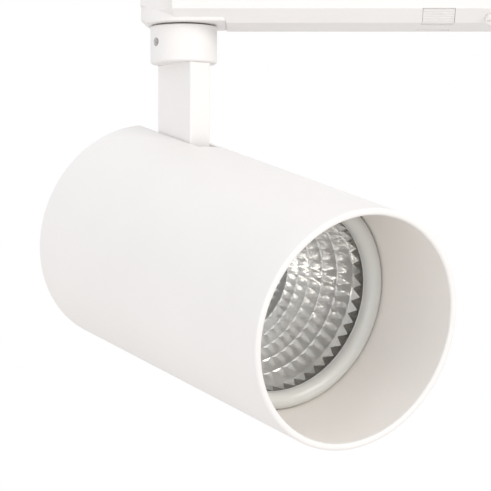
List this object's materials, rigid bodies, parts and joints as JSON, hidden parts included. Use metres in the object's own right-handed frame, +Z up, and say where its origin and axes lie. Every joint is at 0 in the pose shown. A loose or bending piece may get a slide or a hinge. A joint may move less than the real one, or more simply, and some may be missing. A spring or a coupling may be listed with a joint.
{
  "type": "track spotlight",
  "caption": "Track spotlight: cylindrical head with a deep faceted reflector, hung on a flat arm that pans and tilts below a long gear box with a track neck.",
  "frame": {"origin": "on the pan axis, in the top face of the gear box that seats against the track", "axes": "+X along the gear box away from the swivel, +Z up towards the track"},
  "size_m": [0.273, 0.1852, 0.2224],
  "materials": {
    "white_coat": "fine matt white powder coat",
    "gear_plastic": "satin white moulding",
    "dark_plastic": "dark moulding",
    "bare_aluminium": "bare casting",
    "steel": "bright steel",
    "zinc_screw": "zinc plated",
    "black_steel": "black oxide",
    "contact_brass": "spring contact strip",
    "circuit_board": "solder mask",
    "capacitor_sleeve": "shrink sleeve",
    "copper_wire": "enamelled winding",
    "cable_jacket": "white sleeve",
    "ring_grey": "pale grey satin ring",
    "gasket_rubber": "silicone",
    "clear_glass": "clear toughened glass",
    "reflector_silver": "faceted bright coating",
    "holder_white": "satin",
    "phosphor": "phosphor disc",
    "pad_grey": "thermal pad"
  },
  "bodies": {
    "gear": {"gear_housing": "gear_plastic", "gear_cover": "gear_plastic", "cover_screws": "zinc_screw", "track_neck": "gear_plastic", "phase_contacts": "contact_brass", "neutral_contact": "contact_brass", "earth_contact": "contact_brass", "terminal_block": "dark_plastic", "terminal_screws": "zinc_screw", "driver_board": "circuit_board", "driver_transformer": "dark_plastic", "driver_capacitors": "capacitor_sleeve", "driver_choke": "copper_wire", "driver_posts": "dark_plastic", "latch_post": "dark_plastic", "swivel_base": "white_coat", "base_screws": "zinc_screw", "stop_pin": "steel"},
    "latch_a": {"latch_front": "gear_plastic", "latch_spring_front": "steel"},
    "latch_b": {"latch_rear": "gear_plastic", "latch_spring_rear": "steel"},
    "selector": {"selector_knob": "gear_plastic", "selector_clip": "steel"},
    "swivel": {"pan_collar": "white_coat", "set_screw": "black_steel", "pan_stem": "steel", "stop_washer": "steel", "wave_washer": "steel", "stem_nut": "steel", "arm": "white_coat", "arm_lead": "cable_jacket", "friction_washers": "dark_plastic"},
    "head": {"head_tube": "white_coat", "heat_sink": "bare_aluminium", "pivot_cheeks": "bare_aluminium", "pivot_bolt": "black_steel", "pivot_nut": "steel", "rear_cover": "white_coat", "rear_cover_screws": "zinc_screw", "retaining_ring": "ring_grey", "glass_gasket": "gasket_rubber", "cover_glass": "clear_glass", "reflector": "reflector_silver", "led_holder": "holder_white", "led_screws": "zinc_screw", "cob_substrate": "bare_aluminium", "cob_emitter": "phosphor", "thermal_pad": "pad_grey", "led_wires": "cable_jacket"}
  },
  "joints": [
    {"name": "pan", "type": "hinge", "parent": "gear", "child": "swivel", "pos_m": [0, 0, -0.036], "axis": [0, 0, 1], "range_deg": [-113.5, 222.5]},
    {"name": "tilt", "type": "hinge", "parent": "swivel", "child": "head", "pos_m": [0, 0, -0.1088], "axis": [0.814, 0.5808, 0], "range_deg": [-14.69, 75.31]},
    {"name": "latch_front_press", "type": "slide", "parent": "gear", "child": "latch_a", "axis": [0, 1, 0], "range_m": [0, 0.0024], "stiffness_N_per_m": 400, "springref_m": -0.002, "deforming": ["latch_spring_front"]},
    {"name": "latch_rear_press", "type": "slide", "parent": "gear", "child": "latch_b", "axis": [0, -1, 0], "range_m": [0, 0.0024], "stiffness_N_per_m": 400, "springref_m": -0.002, "deforming": ["latch_spring_rear"]},
    {"name": "circuit_select", "type": "hinge", "parent": "gear", "child": "selector", "pos_m": [0.1273, -0.0175, -0.0344], "axis": [0, -0.7071, -0.7071], "range_deg": [-60, 60]}
  ]
}
